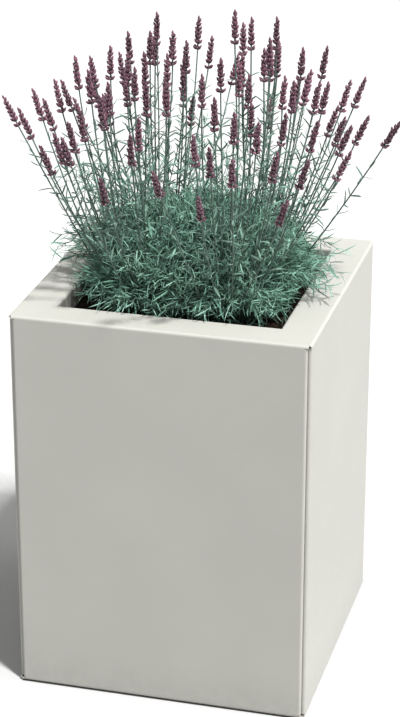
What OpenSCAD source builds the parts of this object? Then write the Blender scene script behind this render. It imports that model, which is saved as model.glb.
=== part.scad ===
// Tall square planter of folded sheet steel, with a planted insert that lifts out of the rim
// and four levelling feet under the base.
// Millimetres, +Z up. The origin is on the floor under the centre, and the front faces -Y.

/* [Body] */
// Outside width of the square body
body_w = 550; // [520:5:640]
// Height of the folded body above its floor gap
body_h = 740; // [660:10:900]
// Gap between the floor and the body's bottom edge
floor_gap = 3; // [2:0.5:6]
// Width of the flat rim, from the outer face to the inner face of the lip
rim_w = 70; // [60:2:80]
// Height of the lip that turns down inside the rim
lip_h = 40; // [30:2:60]
// Thickness of the body's sheet
sheet_t = 2; // [1.5:0.25:2.5]
// Outer radius of every bend in the body
bend_r = 5; // [4:0.5:6]
// Width of the return along the bottom edge
base_return = 30; // [24:1:32]
// Length of the flat that turns inward along each corner's diagonal
corner_return = 22; // [14:1:24]
// Height of the relief slot between a corner's bends and the rim
relief_h = 1; // [0.8:0.1:1.5]
// Thickness of the gusset under each corner of the rim
gusset_t = 3; // [2:0.5:4]

/* [Wall stiffeners] */
// Width of the stiffener's raised crown
stiffener_crown = 40; // [30:2:60]
// Depth of the stiffener's crown, off the wall
stiffener_depth = 25; // [15:1:30]
// Width of each flange that lies on the wall
stiffener_flange = 20; // [14:1:26]
// Thickness of the stiffener's sheet
stiffener_t = 1.5; // [1:0.25:2]
// Length of wall left bare above and below the stiffener
stiffener_end = 60; // [50:2:80]

/* [Base plate] */
// Thickness of the base plate
base_t = 2; // [1.5:0.25:3]
// Diameter of the drain holes in the base plate
drain_d = 15; // [10:1:20]
// Distance between drain holes
drain_pitch = 110; // [80:5:120]
// Diameter of the four holes for ground anchors
anchor_d = 11; // [9:0.5:13]
// Side of the square on which the anchor holes lie
anchor_pitch = 300; // [280:5:310]
// Diameter of the rivets that hold the base plate
rivet_d = 4.8; // [4:0.2:5]
// Rivets along each side of the base plate
rivets_side = 4; // [3:1:5]

/* [Cross rails] */
// Outside width and height of the square rail
rail_w = 30; // [25:1:40]
// Wall thickness of the rail
rail_t = 2; // [1.5:0.25:3]
// Distance between the two rails' centre lines
rail_pitch = 240; // [200:5:280]
// Gap between each end of a rail and the wall
rail_end_gap = 1; // [0.5:0.25:2]
// Thickness of the cushion strip on the rail
cushion_t = 4; // [3:0.5:6]
// Thickness of the cleat that carries a rail's end
cleat_t = 3; // [2:0.5:4]
// Width of the cleat
cleat_w = 40; // [40:1:50]
// Height of the cleat's leg on the wall
cleat_leg = 60; // [45:1:80]
// Length of the cleat's shelf under the rail
cleat_shelf = 45; // [38:1:55]
// Diameter of the bolt through the rail and its cleat
bolt_d = 8; // [6:1:8]
// Radial clearance of a bolt in its hole
bolt_clear = 0.5; // [0.3:0.1:0.8]

/* [Levelling feet] */
// Distance from the body's outer faces to a foot's axis
foot_inset = 55; // [54:1:62]
// Diameter of the foot's pad
foot_d = 40; // [34:1:44]
// Height of the foot's pad
foot_h = 12; // [11:0.5:13]
// Diameter of the threaded stem
stem_d = 10; // [8:1:12]
// Diameter of the spigot that turns in the pad
spigot_d = 8; // [6:0.5:8]
// Length of the stem above its collar
stem_l = 50; // [44:1:70]
// Radial running clearance of the stem in its nuts and of the spigot in the pad
stem_fit = 0.05; // [0.02:0.01:0.1]
// Thickness of the pad's wall round its socket
boss_wall = 4; // [3:0.5:5]
// Width of the screwdriver slot across the stem's top
slot_w = 1.6; // [1.2:0.1:2]
// Depth of the screwdriver slot
slot_depth = 3; // [2:0.5:4]
// Gap between a pad and the notch round it in the base plate
foot_clear = 5; // [3:0.5:8]
// Height of the bracket's underside above the body's bottom edge
bracket_rise = 27; // [26:0.5:32]
// Side of the square bracket
bracket_w = 98; // [92:1:104]
// Thickness of the bracket's plate
bracket_t = 4; // [3:0.5:5]
// Depth of the flange turned down along the bracket's inner edges
bracket_flange = 18; // [12:1:20]
// Width across the flats of the nuts
nut_af = 17; // [17:0.5:19]
// Height of the nut welded on the bracket
weld_nut_h = 8; // [6:0.5:10]
// Height of the lock nut under the bracket
lock_nut_h = 6; // [5:0.5:7]

/* [Insert] */
// Gap between the insert's flange and the lip
insert_gap = 3; // [2:0.5:5]
// Width of the insert's outward flange
liner_flange = 7; // [5:0.5:10]
// Depth of the hem that turns down outside the flange
liner_hem = 12; // [8:1:16]
// Thickness of the insert's sheet
liner_t = 1.5; // [1:0.25:2]
// Depth of the insert
liner_depth = 390; // [320:5:420]
// Radius of the insert's vertical corners
liner_r = 12; // [6:1:20]
// Diameter of the drain holes in the insert
liner_hole_d = 10; // [8:1:14]
// Distance between the insert's drain holes
liner_hole_pitch = 80; // [60:5:90]
// Height of the water space under the drain plate
grid_rise = 25; // [15:1:40]
// Thickness of the drain plate
grid_t = 3; // [2:0.5:5]
// Diameter of the drain plate's holes
grid_hole_d = 8; // [6:0.5:12]
// Distance between the drain plate's holes
grid_pitch = 40; // [36:1:45]
// Diameter of the drain plate's feet
grid_foot_d = 18; // [12:1:22]
// Thickness of the filter fleece
fleece_t = 2; // [1.5:0.25:4]
// Depth of soil that covers the insert's flange
soil_cover = 3; // [2:0.5:6]
// Gap round the soil, the fleece and the drain plate
fill_gap = 0.3; // [0.2:0.05:0.5]

/* [Lavender] */
// Widest radius of the foliage mound
mound_r = 245; // [225:5:260]
// Height of the mound above the rim
mound_h = 190; // [150:5:230]
// Radius of the mound where it leaves the soil
mound_foot_r = 150; // [120:5:170]
// Gap between the mound and the lip
mound_gap = 8; // [5:1:20]
// Distance from each plant's crown to the planter's middle planes
crown_inset = 75; // [60:5:90]
// Half of the gap between neighbouring plants
plant_gap = 0.5; // [0.4:0.1:1]
// Flower stems of each plant, without its longest one
stems_each = 22; // [16:1:24]
// Diameter of a flower stem
flower_stem_d = 3; // [2.5:0.1:3.5]
// Distance from the planter's axis to the tip of each plant's longest stem
reach = 370; // [360:5:390]
// Height of the tallest flowers above the rim
bloom_h = 510; // [460:5:540]
// How much lower the outermost flowers stand
bloom_drop = 190; // [120:5:220]
// How much shorter the shortest stem is than its neighbours
bloom_scatter = 120; // [60:5:130]
// Length of a flower spike
spike_l = 62; // [46:1:64]
// Diameter of a flower spike
spike_d = 12; // [9:0.5:12]
// Whorls of flowers on a spike
whorls = 7; // [4:1:8]

/* [Hidden] */
$fn = 48;
half = body_w / 2;
inner_half = half - sheet_t;
open_half = half - rim_w;
z_bottom = floor_gap;
z_top = floor_gap + body_h;
// Distance from a corner to the start of its bend, and to the line where two bends meet
bend_start = bend_r * (1 + sqrt(2));
bend_meet = bend_r * (1 + sqrt(1 / 2));
weld_gap = 0.5;
// The diagonal flat starts this much inside its bend, so the two are one sheet
fold_overlap = 0.02;

// Base plate on the bottom returns
base_z = z_bottom + sheet_t;
rivet_line = half - (bend_r + base_return) / 2;
rivet_head_d = 2 * rivet_d;
rivet_head_h = 1.2;
rivet_tail_h = 3.5;

// Insert, from the lip down
liner_half = open_half - insert_gap - liner_flange;
flange_half = open_half - insert_gap;
liner_top = z_top - lip_h - soil_cover / 2;
liner_bottom = liner_top - liner_depth;
grid_z = liner_bottom + liner_t + grid_rise;
fleece_z = grid_z + grid_t;
soil_bottom = fleece_z + fleece_t;
soil_top = liner_top + soil_cover;
fill_half = liner_half - liner_t - fill_gap;
fill_r = liner_r - liner_t;

// Rails under the insert
rail_top = liner_bottom - cushion_t;
rail_z = rail_top - rail_w;
bolt_y = inner_half - 0.58 * cleat_shelf;
bolt_af = 1.6 * bolt_d;
bolt_head_h = 0.65 * bolt_d;
bolt_nut_h = 0.8 * bolt_d;
bolt_tail = 3;

// Levelling feet, from the bracket down
bracket_z = z_bottom + bracket_rise;
bracket_chamfer = 2 * bend_meet + sqrt(2) * corner_return + 2;
lock_nut_z = bracket_z - lock_nut_h;
collar_af = 1.4 * stem_d;
collar_top = lock_nut_z - 0.3;
socket_floor = 4;
spigot_lift = 0.3;
foot_pos = half - foot_inset;
notch_w = foot_inset + foot_d / 2 + foot_clear;

// Plants in the four quarters of the insert
mound_lip_r = open_half - mound_gap;
bloom_r = 0.92 * reach;
golden = 0.618034;
plastic = 0.754878;

coat = "#d9d8d0";
zinc = "#a9adb0";
steel = "#8d9094";
black = "#232326";
earth = "#1d1611";
leaf = "#5d7f72";
stalk = "#6f8f6a";
bloom = "#6e3e58";

// Fractional part, for spreading values evenly without a visible order
function frac(v) = v - floor(v);

// A turn about the planter's axis, once for each side or corner
module turned(quarter) {
    rotate([0, 0, 90 * quarter]) children();
}

module rounded_square(side, r) {
    square([side - 2 * r, side], center = true);
    square([side, side - 2 * r], center = true);
    for (x = [-1, 1], y = [-1, 1]) {
        translate([x * (side / 2 - r), y * (side / 2 - r)]) circle(r);
    }
}

module hex(af, h) {
    cylinder(d = af / cos(30), h = h, $fn = 6);
}

// Stands the children's +Z along the line from a to b, starting at a
module along(a, b) {
    d = b - a;
    translate(a) rotate([0, acos(d.z / norm(d)), atan2(d.y, d.x)]) children();
}

// Folded body panels

// Ring of one sheet thickness, for the bends
module bend_ring() {
    difference() {
        circle(bend_r);
        circle(bend_r - sheet_t);
    }
}

// Quarter of the ring that starts at angle a
module quarter_bend(a) {
    intersection() {
        bend_ring();
        rotate(a) square(2 * bend_r);
    }
}

// Rim, lip and bottom return in section: x runs inward from the outer face, y runs up
module panel_section() {
    translate([bend_r, z_top - bend_r]) quarter_bend(90);
    translate([bend_r, z_top - sheet_t]) square([rim_w - 2 * bend_r, sheet_t]);
    translate([rim_w - bend_r, z_top - bend_r]) quarter_bend(0);
    translate([rim_w - sheet_t, z_top - lip_h]) square([sheet_t, lip_h - bend_r]);
    translate([bend_r, z_bottom + bend_r]) quarter_bend(180);
    translate([bend_r, z_bottom]) square([base_return - bend_r, sheet_t]);
}

// Corner in plan: the sheet turns through 135 degrees and runs in along the diagonal, where
// it lies back to back with its neighbour's
module corner_fold() {
    translate([half - bend_start, -half + bend_r]) intersection() {
        bend_ring();
        polygon([[0, 0], [0, -2 * bend_r], [2 * bend_r, -2 * bend_r], [2 * bend_r, 2 * bend_r]]);
    }
    translate([half - bend_meet, -half + bend_meet]) rotate(135) {
        translate([-fold_overlap, 0]) square([corner_return + fold_overlap, sheet_t]);
    }
}

module panel(quarter) {
    wall_w = 2 * (half - bend_start);
    fold_h = body_h - 2 * (bend_r + relief_h);
    color(coat) turned(quarter) {
        intersection() {
            translate([-half, -half, 0]) rotate([90, 0, 90]) linear_extrude(body_w) panel_section();
            linear_extrude(z_top + 1) polygon([[-half - 1, -half - 1], [half + 1, -half - 1], [0, 0]]);
        }
        translate([-wall_w / 2, -half, z_bottom + bend_r]) cube([wall_w, sheet_t, body_h - 2 * bend_r]);
        for (side = [0, 1]) {
            mirror([side, 0, 0]) translate([0, 0, z_bottom + bend_r + relief_h]) {
                linear_extrude(fold_h) corner_fold();
            }
        }
    }
}

// Plate under the rim's corner joint, with its inner corner cut off
module gusset(quarter) {
    near = half - bend_r - weld_gap;
    far = half - rim_w + bend_r + weld_gap;
    cut = (near - far) / 3;
    color(coat) turned(quarter) translate([0, 0, z_top - sheet_t - gusset_t]) {
        linear_extrude(gusset_t) polygon([
            [near, -near], [near, -far - cut], [near - cut, -far], [far, -far],
            [far, -near + cut], [far + cut, -near]
        ]);
    }
}

// Hat-shaped channel, upright on the middle of a wall
module stiffener(quarter) {
    crown = stiffener_crown / 2;
    foot = crown + stiffener_flange;
    color(zinc) turned(quarter) translate([0, -inner_half, z_bottom + stiffener_end]) {
        linear_extrude(body_h - 2 * stiffener_end) difference() {
            union() {
                translate([-foot, 0]) square([2 * foot, stiffener_t]);
                translate([-crown, 0]) square([2 * crown, stiffener_depth]);
            }
            translate([-crown + stiffener_t, 0]) {
                translate([0, -1]) square([2 * (crown - stiffener_t), stiffener_depth - stiffener_t + 1]);
            }
        }
    }
}

// Base plate and its rivets

function rivet_x(i) = (2 * i / (rivets_side - 1) - 1) * (half - bracket_w - rivet_head_d);

module at_rivets() {
    for (quarter = [0:3], i = [0:rivets_side - 1]) {
        turned(quarter) translate([rivet_x(i), -rivet_line, 0]) children();
    }
}

module base_plate() {
    side = 2 * (half - bend_r - weld_gap);
    color(zinc) difference() {
        translate([0, 0, base_z]) linear_extrude(base_t) difference() {
            square(side, center = true);
            for (quarter = [0:3]) {
                turned(quarter) translate([half - notch_w, -half]) square(notch_w);
            }
        }
        for (x = [-1:1], y = [-1:1]) {
            translate([x * drain_pitch, y * drain_pitch, base_z - 1]) cylinder(d = drain_d, h = base_t + 2);
        }
        for (x = [-1, 1], y = [-1, 1]) {
            translate([x, y, 0] * anchor_pitch / 2) {
                translate([0, 0, base_z - 1]) cylinder(d = anchor_d, h = base_t + 2);
            }
        }
    }
}

// Flat heads under the return, domed tails above the plate, one between two outside faces
module base_rivets() {
    color(steel) at_rivets() {
        translate([0, 0, z_bottom - rivet_head_h]) cylinder(d = rivet_head_d, h = rivet_head_h);
        translate([0, 0, base_z + base_t]) {
            cylinder(d1 = 1.7 * rivet_d, d2 = 1.2 * rivet_d, h = rivet_tail_h);
        }
    }
}

// Rails that carry the insert

module rail(side) {
    length = 2 * (inner_half - rail_end_gap);
    color(zinc) translate([side * rail_pitch / 2, 0, rail_z]) difference() {
        rotate([90, 0, 0]) linear_extrude(length, center = true) difference() {
            translate([-rail_w / 2, 0]) square(rail_w);
            translate([-rail_w / 2 + rail_t, rail_t]) square(rail_w - 2 * rail_t);
        }
        for (y = [-1, 1]) {
            translate([0, y * bolt_y, -1]) cylinder(d = bolt_d + 2 * bolt_clear, h = rail_w + 2);
        }
    }
}

module cushion(side) {
    length = 2 * (liner_half - liner_r);
    color(black) translate([side * rail_pitch / 2 - rail_w / 2, -length / 2, rail_top]) {
        cube([rail_w, length, cushion_t]);
    }
}

// Angle on the wall: side is -1 or 1 along X, and wall is -1 for the front and 1 for the back
module cleat(side, wall) {
    color(coat) translate([side * rail_pitch / 2, 0, 0]) mirror([0, wall > 0 ? 1 : 0, 0]) difference() {
        translate([-cleat_w / 2, -inner_half, rail_z - cleat_leg]) {
            cube([cleat_w, cleat_t, cleat_leg]);
            translate([0, 0, cleat_leg - cleat_t]) cube([cleat_w, cleat_shelf, cleat_t]);
        }
        translate([0, -bolt_y, rail_z - cleat_t - 1]) {
            cylinder(d = bolt_d + 2 * bolt_clear, h = cleat_t + 2);
        }
    }
}

module at_bolts() {
    for (x = [-1, 1], y = [-1, 1]) {
        translate([x * rail_pitch / 2, y * bolt_y, 0]) children();
    }
}

module rail_bolts() {
    bottom = rail_z - cleat_t - bolt_nut_h - bolt_tail;
    color(steel) at_bolts() {
        translate([0, 0, rail_top]) hex(bolt_af, bolt_head_h);
        translate([0, 0, bottom]) cylinder(d = bolt_d, h = rail_top - bottom);
    }
}

module rail_nuts() {
    color(steel) at_bolts() translate([0, 0, rail_z - cleat_t - bolt_nut_h]) difference() {
        hex(bolt_af, bolt_nut_h);
        translate([0, 0, -1]) cylinder(d = bolt_d + 2 * stem_fit, h = bolt_nut_h + 2);
    }
}

// Levelling feet

module at_foot(quarter) {
    turned(quarter) translate([foot_pos, -foot_pos, 0]) children();
}

// Shelf in the corner, with its inner edges turned down and its corner cut clear of the folds
module bracket(quarter) {
    outer = inner_half;
    inner = inner_half - bracket_w;
    cut = bracket_chamfer - 2 * sheet_t;
    color(zinc) turned(quarter) difference() {
        union() {
            translate([0, 0, bracket_z]) linear_extrude(bracket_t) polygon([
                [outer - cut, -outer], [outer, -outer + cut], [outer, -inner], [inner, -inner],
                [inner, -outer]
            ]);
            translate([inner, -outer, bracket_z - bracket_flange]) {
                cube([bracket_t, bracket_w, bracket_flange]);
            }
            translate([inner, -inner - bracket_t, bracket_z - bracket_flange]) {
                cube([bracket_w, bracket_t, bracket_flange]);
            }
        }
        translate([foot_pos, -foot_pos, bracket_z - 1]) {
            cylinder(d = stem_d + 2 * bolt_clear, h = bracket_t + 2);
        }
    }
}

module stem_nut(z, h) {
    for (quarter = [0:3]) {
        at_foot(quarter) translate([0, 0, z]) difference() {
            hex(nut_af, h);
            translate([0, 0, -1]) cylinder(d = stem_d + 2 * stem_fit, h = h + 2);
        }
    }
}

module weld_nuts() {
    color(steel) stem_nut(bracket_z + bracket_t, weld_nut_h);
}

module lock_nuts() {
    color(steel) stem_nut(lock_nut_z, lock_nut_h);
}

// Pad with a chamfered sole, a sloping back and a socket for the stem's spigot
module foot(quarter) {
    r = foot_d / 2;
    boss_r = spigot_d / 2 + boss_wall;
    bore_r = spigot_d / 2 + stem_fit;
    color(black) at_foot(quarter) rotate_extrude() polygon([
        [0, 0], [r - 1.5, 0], [r, 1.5], [r, socket_floor], [boss_r, foot_h - 3], [boss_r, foot_h],
        [bore_r, foot_h], [bore_r, socket_floor], [0, socket_floor]
    ]);
}

// Spigot, spanner collar and threaded stem, with a slot across the top
module stem(quarter) {
    color(steel) at_foot(quarter) difference() {
        union() {
            translate([0, 0, socket_floor + spigot_lift]) {
                cylinder(d = spigot_d, h = foot_h - socket_floor - spigot_lift);
            }
            translate([0, 0, foot_h]) hex(collar_af, collar_top - foot_h);
            translate([0, 0, collar_top]) cylinder(d = stem_d, h = stem_l);
        }
        translate([-stem_d, -slot_w / 2, collar_top + stem_l - slot_depth]) {
            cube([2 * stem_d, slot_w, slot_depth + 1]);
        }
    }
}

// Insert

module liner() {
    color(zinc) difference() {
        union() {
            translate([0, 0, liner_bottom]) linear_extrude(liner_depth) {
                rounded_square(2 * liner_half, liner_r);
            }
            translate([0, 0, liner_top - liner_t]) linear_extrude(liner_t) {
                rounded_square(2 * flange_half, liner_r);
            }
            translate([0, 0, liner_top - liner_hem]) linear_extrude(liner_hem) difference() {
                rounded_square(2 * flange_half, liner_r);
                rounded_square(2 * (flange_half - liner_t), liner_r - liner_t);
            }
        }
        translate([0, 0, liner_bottom + liner_t]) linear_extrude(liner_depth) {
            rounded_square(2 * (liner_half - liner_t), liner_r - liner_t);
        }
        for (x = [-1.5:1.5], y = [-1.5:1.5]) {
            translate([x * liner_hole_pitch, y * liner_hole_pitch, liner_bottom - 1]) {
                cylinder(d = liner_hole_d, h = liner_t + 2);
            }
        }
    }
}

// Perforated plate on short feet, which keeps a water space open under the soil
module drain_plate() {
    reach_holes = floor((fill_half - grid_hole_d) / grid_pitch);
    color(black) {
        difference() {
            translate([0, 0, grid_z]) linear_extrude(grid_t) rounded_square(2 * fill_half, fill_r);
            for (x = [-reach_holes:reach_holes], y = [-reach_holes:reach_holes]) {
                translate([x * grid_pitch, y * grid_pitch, grid_z - 1]) {
                    cylinder(d = grid_hole_d, h = grid_t + 2);
                }
            }
        }
        for (x = [-1.5, 1.5], y = [-1.5, 1.5]) {
            translate([x * 2 * grid_pitch, y * 2 * grid_pitch, 0]) {
                translate([grid_pitch / 2, grid_pitch / 2, grid_z - grid_rise]) {
                    cylinder(d = grid_foot_d, h = grid_rise);
                }
            }
        }
    }
}

module fleece() {
    color("#c9c9c4") translate([0, 0, fleece_z]) linear_extrude(fleece_t) {
        rounded_square(2 * fill_half, fill_r);
    }
}

// Soil fills the insert and lies over its flange, up to the lip
module soil() {
    color(earth) {
        translate([0, 0, soil_bottom]) linear_extrude(liner_top - soil_bottom) {
            rounded_square(2 * fill_half, fill_r);
        }
        translate([0, 0, liner_top]) linear_extrude(soil_cover) {
            rounded_square(2 * flange_half, liner_r);
        }
    }
}

// Lavender

// Mound in section: it clears the lip, spreads over the rim and closes in an elliptical cap
function mound_cap(a) = [mound_r * cos(a), z_top + mound_h / 4 + 0.75 * mound_h * sin(a)];

module mound(gap) {
    translate([gap, gap, 0]) rotate_extrude(angle = 90) polygon([
        [0, soil_top], [mound_foot_r, soil_top], [mound_lip_r, z_top + gap],
        for (a = [0:15:75]) mound_cap(a),
        [0, z_top + mound_h]
    ]);
}

module foliage(quarter) {
    color(leaf) turned(quarter) mound(plant_gap);
}

// Tip of flower i, spread evenly over the plant's quarter: the last one is the longest stem
function tip_radius(i) = i == stems_each ? reach : spike_d + (bloom_r - spike_d) * sqrt((i + 0.5) / stems_each);
function tip_angle(i, quarter) = i == stems_each ? 3 : 8 + 74 * frac(golden * i + 0.37 * quarter);
function tip_scatter(i, quarter) = i == stems_each ? 0 : bloom_scatter * frac(plastic * i + 0.61 * quarter);
function tip(i, quarter) = let (
    r = tip_radius(i),
    a = tip_angle(i, quarter)
) [
    i == stems_each ? reach : r * cos(a),
    r * sin(a),
    z_top + bloom_h - bloom_drop * pow(r / reach, 2) - tip_scatter(i, quarter)
];
crown = [crown_inset, crown_inset, soil_top];
function toward(a, b, distance) = a + (b - a) * distance / norm(b - a);
function spike_foot(i, quarter) = toward(tip(i, quarter), crown, spike_l);

// Stems run from the crown to the flowers, and show from the mound's surface up
module flower_stems(quarter) {
    color(stalk) turned(quarter) difference() {
        for (i = [0:stems_each]) {
            top = spike_foot(i, quarter);
            start = crown + (top - crown) * 0.3;
            along(start, top) cylinder(d = flower_stem_d, h = norm(top - start));
        }
        mound(plant_gap);
    }
}

// Spike in section: whorls of flowers that taper to the tip
function spike_point(i) = [
    (i % 2 == 1 ? spike_d / 2 : 0.62 * spike_d / 2) * (1 - 0.45 * i / (2 * whorls)),
    spike_l * i / (2 * whorls)
];

module flower_spikes(quarter) {
    color(bloom) turned(quarter) for (i = [0:stems_each]) {
        along(spike_foot(i, quarter), tip(i, quarter)) rotate_extrude() polygon([
            [0, 0],
            for (k = [0:2 * whorls]) spike_point(k),
            [0, spike_l]
        ]);
    }
}

panel(0);  // front_panel
panel(1);  // right_panel
panel(2);  // back_panel
panel(3);  // left_panel
gusset(0);  // gusset_front_right
gusset(1);  // gusset_back_right
gusset(2);  // gusset_back_left
gusset(3);  // gusset_front_left
stiffener(0);  // stiffener_front
stiffener(1);  // stiffener_right
stiffener(2);  // stiffener_back
stiffener(3);  // stiffener_left
base_plate();
base_rivets();
rail(1);  // rail_right
rail(-1);  // rail_left
cushion(1);  // cushion_right
cushion(-1);  // cushion_left
cleat(1, -1);  // cleat_front_right
cleat(1, 1);  // cleat_back_right
cleat(-1, 1);  // cleat_back_left
cleat(-1, -1);  // cleat_front_left
rail_bolts();
rail_nuts();
bracket(0);  // bracket_front_right
bracket(1);  // bracket_back_right
bracket(2);  // bracket_back_left
bracket(3);  // bracket_front_left
weld_nuts();
lock_nuts();
foot(0);  // foot_front_right
foot(1);  // foot_back_right
foot(2);  // foot_back_left
foot(3);  // foot_front_left
stem(0);  // stem_front_right
stem(1);  // stem_back_right
stem(2);  // stem_back_left
stem(3);  // stem_front_left
liner();
drain_plate();
fleece();
soil();
foliage(0);  // foliage_back_right
foliage(1);  // foliage_back_left
foliage(2);  // foliage_front_left
foliage(3);  // foliage_front_right
flower_stems(0);  // flower_stems_back_right
flower_stems(1);  // flower_stems_back_left
flower_stems(2);  // flower_stems_front_left
flower_stems(3);  // flower_stems_front_right
flower_spikes(0);  // flower_spikes_back_right
flower_spikes(1);  // flower_spikes_back_left
flower_spikes(2);  // flower_spikes_front_left
flower_spikes(3);  // flower_spikes_front_right
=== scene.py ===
"""Tall square planter of folded, powder-coated sheet with a lift-out insert of lavender."""
import math
import random

import bmesh
import bpy
import numpy as np
from bpy.props import FloatProperty, FloatVectorProperty, IntProperty, PointerProperty
from mathutils import Matrix, Vector, noise


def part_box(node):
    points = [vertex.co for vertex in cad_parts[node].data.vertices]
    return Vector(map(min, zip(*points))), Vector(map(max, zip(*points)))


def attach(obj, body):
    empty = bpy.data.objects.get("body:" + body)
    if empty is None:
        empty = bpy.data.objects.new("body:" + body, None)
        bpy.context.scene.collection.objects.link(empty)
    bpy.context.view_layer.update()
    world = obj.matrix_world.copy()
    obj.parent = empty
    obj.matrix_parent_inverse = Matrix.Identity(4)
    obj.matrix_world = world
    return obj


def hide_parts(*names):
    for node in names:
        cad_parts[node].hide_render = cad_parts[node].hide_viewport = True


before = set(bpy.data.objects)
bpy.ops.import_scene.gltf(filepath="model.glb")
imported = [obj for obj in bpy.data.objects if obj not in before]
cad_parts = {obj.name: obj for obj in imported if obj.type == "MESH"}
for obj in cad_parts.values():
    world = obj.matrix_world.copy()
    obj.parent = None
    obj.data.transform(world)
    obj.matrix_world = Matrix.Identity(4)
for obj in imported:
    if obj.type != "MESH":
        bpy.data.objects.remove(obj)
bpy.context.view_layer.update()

bl_info = {
    "name": "Square planter",
    "version": (1, 0, 0),
    "blender": (4, 5, 0),
    "location": "3D View > Sidebar > Planter",
    "description": "Builds a folded sheet planter planted with lavender round its packed model",
    "category": "Add Mesh",
}

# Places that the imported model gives, in metres
WALL_LOW, WALL_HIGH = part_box("front_panel")
HALF = round(-WALL_LOW.y, 6)
RIM_WIDTH = round(WALL_HIGH.y - WALL_LOW.y, 6)
Z_BOTTOM = round(WALL_LOW.z, 6)
Z_TOP = round(WALL_HIGH.z, 6)
OPENING = HALF - RIM_WIDTH
SOIL_LOW, SOIL_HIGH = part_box("soil")
LINER_TOP = round(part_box("liner")[1].z, 6)
FLEECE_LOW, FLEECE_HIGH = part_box("fleece")
MOUND_RADIUS = round(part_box("foliage_back_right")[1].x, 6)
MOUND_TOP = round(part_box("foliage_back_right")[1].z, 6)

SIDES = ("front", "right", "back", "left")
CORNERS = {
    "front_right": (1, -1),
    "back_right": (1, 1),
    "back_left": (-1, 1),
    "front_left": (-1, -1),
}
# How far each plant's crown is from the middle, along x and along y
CROWN_INSET = 0.075
UP = Vector((0, 0, 1))
ALONG_X = Vector((1, 0, 0))


# Sizes and colours


class SheetSettings(bpy.types.PropertyGroup):
    """Sheet, bends and reliefs of the folded body."""

    thickness: FloatProperty(
        name="Thickness", description="Thickness of the body's sheet", default=0.002, unit="LENGTH"
    )
    bend_radius: FloatProperty(
        name="Bend radius", description="Outer radius of every bend", default=0.005, unit="LENGTH"
    )
    lip: FloatProperty(
        name="Lip", description="Height of the lip inside the rim", default=0.04, unit="LENGTH"
    )
    base_return: FloatProperty(
        name="Base return", description="Width of the return along the base",
        default=0.03, unit="LENGTH"
    )
    corner_return: FloatProperty(
        name="Corner return",
        description="Length of the flat that turns in along a corner's diagonal",
        default=0.022,
        unit="LENGTH",
    )
    relief_slot: FloatProperty(
        name="Relief slot",
        description="Height of the slot between a corner fold and the rim",
        default=0.001,
        unit="LENGTH",
    )
    relief_square: FloatProperty(
        name="Relief square",
        description="Side of the square left open at each corner of the rim",
        default=0.005,
        unit="LENGTH",
    )


class CoatSettings(bpy.types.PropertyGroup):
    """Colours of the coat, the metals and the black parts."""

    coat: FloatVectorProperty(
        name="Coat", description="Colour of the powder coat",
        default=(0.412, 0.407, 0.380), subtype="COLOR"
    )
    zinc: FloatVectorProperty(
        name="Zinc", description="Colour of the galvanised sheet",
        default=(0.42, 0.44, 0.45), subtype="COLOR"
    )
    steel: FloatVectorProperty(
        name="Steel", description="Colour of the plated fasteners",
        default=(0.5, 0.5, 0.49), subtype="COLOR"
    )
    black: FloatVectorProperty(
        name="Black", description="Colour of pads and cushions",
        default=(0.018, 0.018, 0.019), subtype="COLOR"
    )
    fleece: FloatVectorProperty(
        name="Fleece", description="Colour of the filter fleece",
        default=(0.55, 0.55, 0.52), subtype="COLOR"
    )


class SoilSettings(bpy.types.PropertyGroup):
    """Soil in the insert."""

    # Dark end of the soil's colour: the tone of moist soil, and painted shade in the hollows of its bump
    moist_and_hollow_shade: FloatVectorProperty(
        name="Moist", description="Colour of the soil's hollows",
        default=(0.0105, 0.0065, 0.0045), subtype="COLOR"
    )
    dry: FloatVectorProperty(
        name="Dry", description="Colour of the soil's crumbs",
        default=(0.06, 0.038, 0.025), subtype="COLOR"
    )
    density: FloatProperty(
        name="Crumbs per square metre", description="How thickly the crumbs lie", default=30000.0
    )
    smallest: FloatProperty(
        name="Smallest crumb", description="Radius of the smallest crumb", default=0.0012, unit="LENGTH"
    )
    largest: FloatProperty(
        name="Largest crumb", description="Radius of the largest crumb", default=0.0042, unit="LENGTH"
    )


class LavenderSettings(bpy.types.PropertyGroup):
    """Leaves, stems and flowers of the lavender."""

    shoots: IntProperty(name="Shoots", description="Leafy shoots of one plant's mound", default=370)
    skirt: IntProperty(name="Skirt", description="Low shoots that spread over the soil", default=170)
    tall: IntProperty(
        name="Tall shoots", description="Thin shoots that stand above the mound", default=34
    )
    leaf_length: FloatProperty(
        name="Leaf length", description="Length of a middling leaf", default=0.036, unit="LENGTH"
    )
    node_spacing: FloatProperty(
        name="Node spacing", description="Distance between a shoot's leaf nodes",
        default=0.0086, unit="LENGTH"
    )
    bud_length: FloatProperty(
        name="Bud length", description="Length of a flower bud", default=0.0113, unit="LENGTH"
    )
    leaf_dark: FloatVectorProperty(
        name="Dark leaf", description="Colour of the shaded leaves",
        default=(0.1, 0.2, 0.16), subtype="COLOR"
    )
    leaf_mid: FloatVectorProperty(
        name="Leaf", description="Colour of most leaves", default=(0.204, 0.362, 0.292), subtype="COLOR"
    )
    leaf_light: FloatVectorProperty(
        name="Light leaf", description="Colour of the young leaves",
        default=(0.3, 0.452, 0.382), subtype="COLOR"
    )
    stalk: FloatVectorProperty(
        name="Stalk", description="Colour of the flower stems",
        default=(0.158, 0.236, 0.2), subtype="COLOR"
    )
    bloom_dark: FloatVectorProperty(
        name="Dark bloom", description="Colour of the closed buds",
        default=(0.073, 0.036, 0.052), subtype="COLOR"
    )
    bloom_light: FloatVectorProperty(
        name="Light bloom", description="Colour of the open buds",
        default=(0.3, 0.155, 0.208), subtype="COLOR"
    )


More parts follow.
